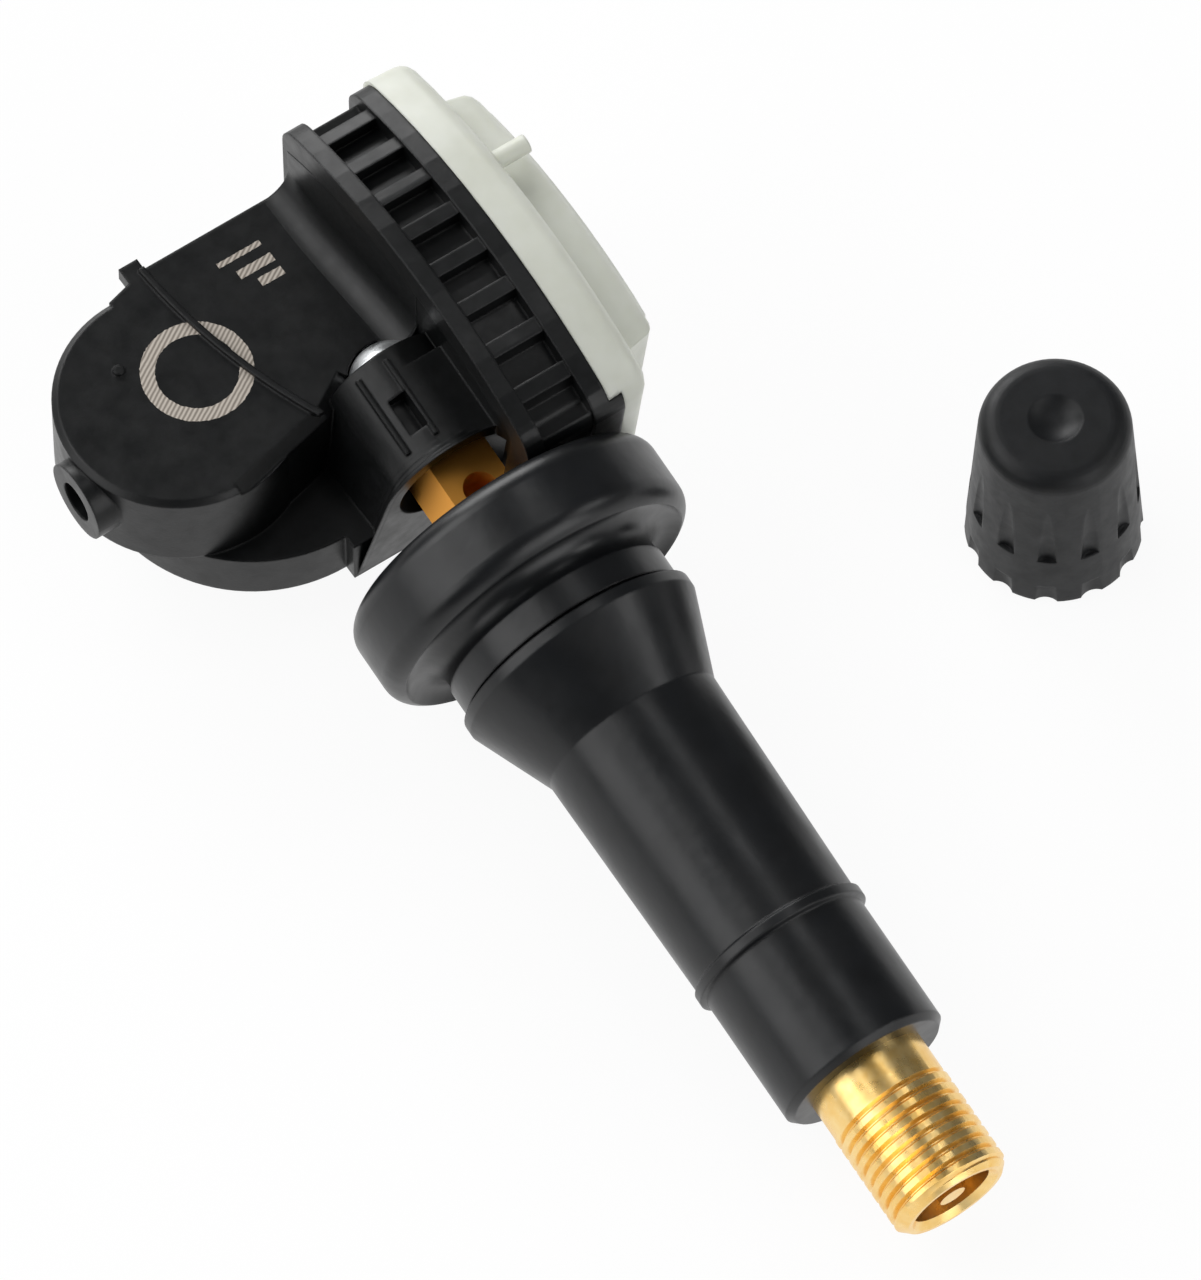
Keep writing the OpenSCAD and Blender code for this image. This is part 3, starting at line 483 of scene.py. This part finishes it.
def makeTurnedBrass():
    material, tree, shader, place, base, roughness = startFinish("turnedBrass", turnedBrass)
    parts = addNode(tree, "ShaderNodeSeparateXYZ", inputs={"Vector": place})
    milledAndShaded = addNode(tree, "ShaderNodeMath", {"operation": "LESS_THAN"}, {
        0: parts.outputs["X"], 1: turnedBrass["milledReach"] * mm}).outputs[0]
    # the milled square gets the painted shade colour and a duller, real roughness
    colour = addNode(tree, "ShaderNodeMix", {"data_type": "RGBA"}, {
        "Factor": milledAndShaded, colourA: base, colourB: linearColour(turnedBrass["milledShadeColour"])})
    tree.links.new(colour.outputs[mixedColour], shader.inputs["Base Color"])
    dull = addNode(tree, "ShaderNodeMix", inputs={
        "Factor": milledAndShaded, valueA: roughness, valueB: turnedBrass["milledRoughness"]})
    tree.links.new(dull.outputs[0], shader.inputs["Roughness"])
    stretch = turnedBrass["ringStretch"]
    along = addNode(tree, "ShaderNodeMapping", {"vector_type": "POINT"}, {
        "Vector": place, "Rotation": (0, math.asin(stemAxis.z), 0), "Scale": (1.0, stretch, stretch)})
    toolMarks = addNode(tree, "ShaderNodeTexNoise", inputs={
        "Vector": along.outputs[0], "Scale": perMetre(turnedBrass["ringSpacing"]),
        "Detail": turnedBrass["ringDetail"], "Roughness": softNoise["roughness"]})
    rings = addNode(tree, "ShaderNodeBump", inputs={
        "Strength": 1.0, "Distance": turnedBrass["ringDepth"] * mm, "Height": toolMarks.outputs["Fac"]})
    tree.links.new(rings.outputs[0], shader.inputs["Normal"])
    return material


# Moulded polypropylene cap: black, satin, with a little waviness
mouldedPolypropylene = {
    "under": ("#121314", 0.46),
    "sockets": {"IOR": 1.49, "Specular IOR Level": 0.3},
    "colours": ("#101112", "#17181a"), "colourPatch": 1.5,
    "roughness": (0.40, 0.52), "glossPatch": 1.2,
    "grains": [(0.3, 0.005), (2.5, 0.02)],
    "softEdge": 0.25,
}


def makeMouldedPolypropylene():
    return startFinish("mouldedPolypropylene", mouldedPolypropylene)[0]


plainPattern = {"colourPatch": 1.5, "glossPatch": 0.8, "softEdge": 0.06}
plainFinishes = {  # colours, roughness, sockets, size and depth of the grain
    # Zinc plate: bright, pale and faintly blue
    "zincPlatedSteel": (("#dfe2e4", "#f2f4f5"), (0.26, 0.38), {"Metallic": 1.0}, (0.5, 0.003)),
    # Nickel plate: darker and warmer than zinc
    "nickelPlatedSteel": (("#b4b2ab", "#cbc9c2"), (0.22, 0.34), {"Metallic": 1.0}, (0.4, 0.002)),
    # Drawn wire: grey, with a smooth sheen
    "springSteelWire": (("#9a9da0", "#b7babd"), (0.25, 0.35), {"Metallic": 1.0}, (0.3, 0.002)),
    # Glass-epoxy board under green lacquer
    "solderMaskLaminate": (("#12512a", "#1b6337"), (0.3, 0.42), {"IOR": 1.55}, (0.35, 0.004)),
    # Moulded chip package: charcoal and matte
    "mouldedEpoxyPackage": (("#17181a", "#202224"), (0.5, 0.62), {"IOR": 1.55}, (0.12, 0.004)),
    # Moulded silicone: brick red and matte
    "siliconeRubber": (("#7c2b20", "#8d3729"), (0.5, 0.62), {"IOR": 1.41}, (0.3, 0.004)),
    # Fired ceramic of the capacitors: tan and dull
    "sinteredCeramic": (("#8a6a48", "#9d7c58"), (0.45, 0.6), {"IOR": 1.6}, (0.15, 0.004)),
    # Pressed and fired ferrite: dark grey, slightly gritty
    "sinteredFerrite": (("#2b2b2d", "#373739"), (0.5, 0.65), {"IOR": 1.6}, (0.15, 0.006)),
    # Copper under clear enamel: warm and shiny
    "enamelledCopperWire": (("#a5502a", "#c0693a"), (0.25, 0.38), {"Metallic": 1.0}, (0.12, 0.01)),
    # Nitrile rubber: soft black, no shine
    "blackNitrileWasher": (("#1d1e1f", "#28292b"), (0.55, 0.68), {"IOR": 1.5}, (0.3, 0.006)),
}


def makePlainFinish(name):
    colours, roughness, sockets, grain = plainFinishes[name]
    look = {"under": (colours[0], roughness[0]), "sockets": sockets, "colours": colours,
            "roughness": roughness, "grains": [grain]}
    return startFinish(name, {**look, **plainPattern})[0]


makeCamera()
makeFloor()
makeWorld()
makeLamps()
print("camera, floor and lamps stand")

materials = {name: makePlainFinish(name) for name in plainFinishes}
materials["glassFilledNylon"] = makeGlassFilledNylon()
materials["mouldedEpdmRubber"] = makeEpdmRubber()
materials["castMilkyPolyurethane"] = makeMilkyPolyurethane()
materials["turnedBrass"] = makeTurnedBrass()
materials["mouldedPolypropylene"] = makeMouldedPolypropylene()

nodeFinish = {
    "housing": "glassFilledNylon", "potted_cover": "castMilkyPolyurethane",
    "circuit_board": "solderMaskLaminate", "pressure_sensor": "mouldedEpoxyPackage",
    "port_gasket": "siliconeRubber", "controller_chip": "mouldedEpoxyPackage",
    "crystal": "nickelPlatedSteel", "capacitors": "sinteredCeramic", "coil_core": "sinteredFerrite",
    "coil_winding": "enamelledCopperWire", "rf_antenna": "turnedBrass", "coin_cell": "nickelPlatedSteel",
    "cell_tab_plus": "nickelPlatedSteel", "cell_tab_minus": "nickelPlatedSteel",
    "fixing_screw": "zincPlatedSteel", "brass_stem": "turnedBrass", "rubber_stem": "mouldedEpdmRubber",
    "core_plug": "turnedBrass", "core_barrel": "turnedBrass", "core_gasket": "siliconeRubber",
    "valve_pin": "turnedBrass", "pin_seal": "siliconeRubber", "core_spring": "springSteelWire",
    "valve_cap": "mouldedPolypropylene", "cap_seal": "blackNitrileWasher",
}
for nodeName, finish in nodeFinish.items():
    dress(frame["nodes"][nodeName], materials[finish])
print("materials on", len(nodeFinish), "nodes")


capThread = {
    "pitch": 0.794,         # 32 turns to the inch
    "depth": 0.30,          # shallower than the standard, as the crests look
    "rootFlat": 0.06,
    "slope": 30.0,          # degrees, half of the thread's angle
    "clearOutside": 0.25,   # that the cutter stands outside the crests
    "runOut": 0.15,         # that the groove runs past the land
    "extraLength": 1.5,     # that the cutter runs past the thread
    "steps": 64,            # round one turn
    "weldDistance": 1e-7,   # metres
    "smoothBelow": 32.0,    # degrees between faces that still shade as one surface
}
plainLand = {  # between the sleeve and the thread
    "packedRadius": 3.55,
    "shownRadius": 3.78,    # almost that of the thread
    "length": 3.0,
    "radiusMargin": 0.02, "frontMargin": 0.01,  # within which a corner counts as the land's
}


# The thread's whole groove as one solid coil, from just behind the thread to past its end
def makeThreadCutter():
    root = threadRadius / mm - capThread["depth"]
    outer = threadRadius / mm + capThread["clearOutside"]
    halfRoot = capThread["rootFlat"] / 2
    halfOuter = halfRoot + (outer - root) * math.tan(math.radians(capThread["slope"]))
    clearSelection()
    bpy.ops.mesh.primitive_plane_add(size=1, location=(0, 0, 0))
    cutter = bpy.context.object
    cutter.name = "threadCutter"
    corners = [(outer, -halfOuter), (root, -halfRoot), (outer, halfOuter), (root, halfRoot)]
    for vertex, (radius, height) in zip(cutter.data.vertices, corners):
        vertex.co = (radius * mm, 0, height * mm)
    editMode(cutter)
    bpy.ops.mesh.delete(type="ONLY_FACE")
    objectMode()
    screw = cutter.modifiers.new("helix", "SCREW")
    screw.axis = "Z"
    screw.angle = 2 * math.pi
    screw.screw_offset = capThread["pitch"] * mm
    screw.iterations = math.ceil((threadLength / mm + capThread["extraLength"]) / capThread["pitch"])
    screw.steps = screw.render_steps = capThread["steps"]
    screw.use_merge_vertices = True
    screw.merge_threshold = capThread["weldDistance"]
    applyAll(cutter)
    editMode(cutter)
    bpy.ops.mesh.fill_holes(sides=0)
    bpy.ops.mesh.select_all(action="SELECT")
    bpy.ops.mesh.normals_make_consistent(inside=False)
    objectMode()
    cutter.matrix_world = stemFrame(-threadLength / 2 - capThread["runOut"] * mm)
    pick(cutter)
    bpy.ops.object.transform_apply(location=True, rotation=True, scale=True)
    return cutter


def widenLand(insert):
    packed, shown = plainLand["packedRadius"] * mm, plainLand["shownRadius"] * mm
    front = -threadLength / 2
    back = front - plainLand["length"] * mm
    for vertex in insert.data.vertices:
        offset = vertex.co - threadMiddle
        along = offset.dot(stemAxis)
        outward = offset - stemAxis * along
        inLength = back < along < front + plainLand["frontMargin"] * mm
        if inLength and abs(outward.length - packed) < plainLand["radiusMargin"] * mm:
            vertex.co += outward * (shown / outward.length - 1)


# The brass stem with its cap thread cut, and with a plain land that stands out almost as far
def makeBrassInsert():
    insert = copyOfNode("brass_stem", "brassInsert")
    widenLand(insert)
    cutter = makeThreadCutter()
    cut = insert.modifiers.new("thread", "BOOLEAN")
    cut.operation, cut.solver, cut.object = "DIFFERENCE", "EXACT", cutter
    applyAll(insert)
    bpy.data.objects.remove(cutter)
    smoothBelow(insert, capThread["smoothBelow"])
    dress(insert, materials["turnedBrass"])
    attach(insert, "sensor")
    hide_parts("brass_stem")
    print("brass insert:", len(insert.data.polygons), "faces")


frontBlend = {  # places from the low corner of the housing's box
    "closedEnd": 0.83,     # where the blend starts, at the rim's closed end
    "rimInner": 2.85,      # inner edge of the rim's upright side
    "fadeEnd": 13.7,       # where the blend has become the wall's own fillet
    "rimFront": 21.28, "wallFront": 21.98,  # front planes of the rim and of the wall behind it
    "radius": (1.95, 2.11),                 # of the fillet at the rim and at the wall
    "crownMiddle": (13.8, -20.8), "crownRadius": 28.1,  # of the rim's inner edge, over the flat face
    "thickness": 0.5,
    "columns": 29, "rows": 17,
    "filletShare": 0.75,   # of the rows that lie in the fillet, below the upright rest
    "sink": 0.03,          # of its lower edge into the flat face
    "smoothBelow": 50.0,   # degrees between faces that still shade as one surface
}


# Place of one corner of the blend, from shares across it and up it
def frontBlendPoint(across, up):
    start, end, rimInner = (frontBlend[key] for key in ("closedEnd", "fadeEnd", "rimInner"))
    rimFront, wallFront = frontBlend["rimFront"], frontBlend["wallFront"]
    rimRadius, wallRadius = frontBlend["radius"]
    middle, crown, filletShare = (frontBlend[key] for key in ("crownMiddle", "crownRadius", "filletShare"))
    x = start + across * (end - start)
    fade = min(max((x - rimInner) / (end - rimInner), 0), 1)
    fade = fade * fade * (3 - 2 * fade)
    radius = rimRadius + fade * (wallRadius - rimRadius)
    top = middle[1] + math.sqrt(crown ** 2 - (x - middle[0]) ** 2)
    turn = min(up / filletShare, 1) * math.pi / 2
    y = rimFront + fade * (wallFront - rimFront) - radius + radius * math.sin(turn)
    z = radius - radius * math.cos(turn)
    if up < 0.5 / (frontBlend["rows"] - 1):  # only the lowest row
        z -= frontBlend["sink"]
    if up > filletShare:
        z = radius + (up - filletShare) / (1 - filletShare) * max(top - radius, 0)
    return (housingLow.x + x * mm, housingLow.y + y * mm, housingLow.z + (flatFaceHeight + z) * mm)


# Fillet that carries the flat face up into the rim at its closed end
def makeFrontBlend():
    clearSelection()
    bpy.ops.mesh.primitive_grid_add(x_subdivisions=frontBlend["columns"] - 1,
                                    y_subdivisions=frontBlend["rows"] - 1, size=1)
    blend = bpy.context.object
    blend.name = blend.data.name = "rimFrontBlend"
    for vertex in blend.data.vertices:
        vertex.co = frontBlendPoint(vertex.co.x + 0.5, vertex.co.y + 0.5)  # the grid is 1 across
    solid = blend.modifiers.new("thickness", "SOLIDIFY")
    solid.thickness, solid.offset = frontBlend["thickness"] * mm, -1.0
    applyAll(blend)
    editMode(blend)
    bpy.ops.mesh.normals_make_consistent(inside=False)
    objectMode()
    smoothBelow(blend, frontBlend["smoothBelow"])
    dress(blend, materials["glassFilledNylon"])
    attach(blend, "sensor")
    print("rim's front blend:", len(blend.data.polygons), "faces")


coverLook = {"smoothBelow": 40.0}  # degrees between faces that still shade as one surface


# The poured cover over the coin cell, merged so that its rounds shade without facets
def makePouredCover():
    cover = copyOfNode("potted_cover", "pouredCover")
    smoothBelow(cover, coverLook["smoothBelow"])
    dress(cover, materials["castMilkyPolyurethane"])
    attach(cover, "sensor")
    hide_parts("potted_cover")
    print("poured cover:", len(cover.data.polygons), "faces")


springLook = {"smoothBelow": 70.0}  # degrees between faces that still shade as one surface


# The valve core's spring, held at its inner end by the barrel's shoulder.
# In the valve the pin's collar squeezes it as the pin goes in; this copy keeps the node's shape.
def makeCoreSpring():
    spring = copyOfNode("core_spring", "coreSpringCoil")
    smoothBelow(spring, springLook["smoothBelow"])
    dress(spring, materials["springSteelWire"])
    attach(spring, "sensor")
    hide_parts("core_spring")
    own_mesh(spring)
    print("core spring:", len(spring.data.polygons), "faces")


makeBrassInsert()
makePouredCover()
makeFrontBlend()
makeCoreSpring()

bpy.context.scene.view_settings.view_transform = "Standard"
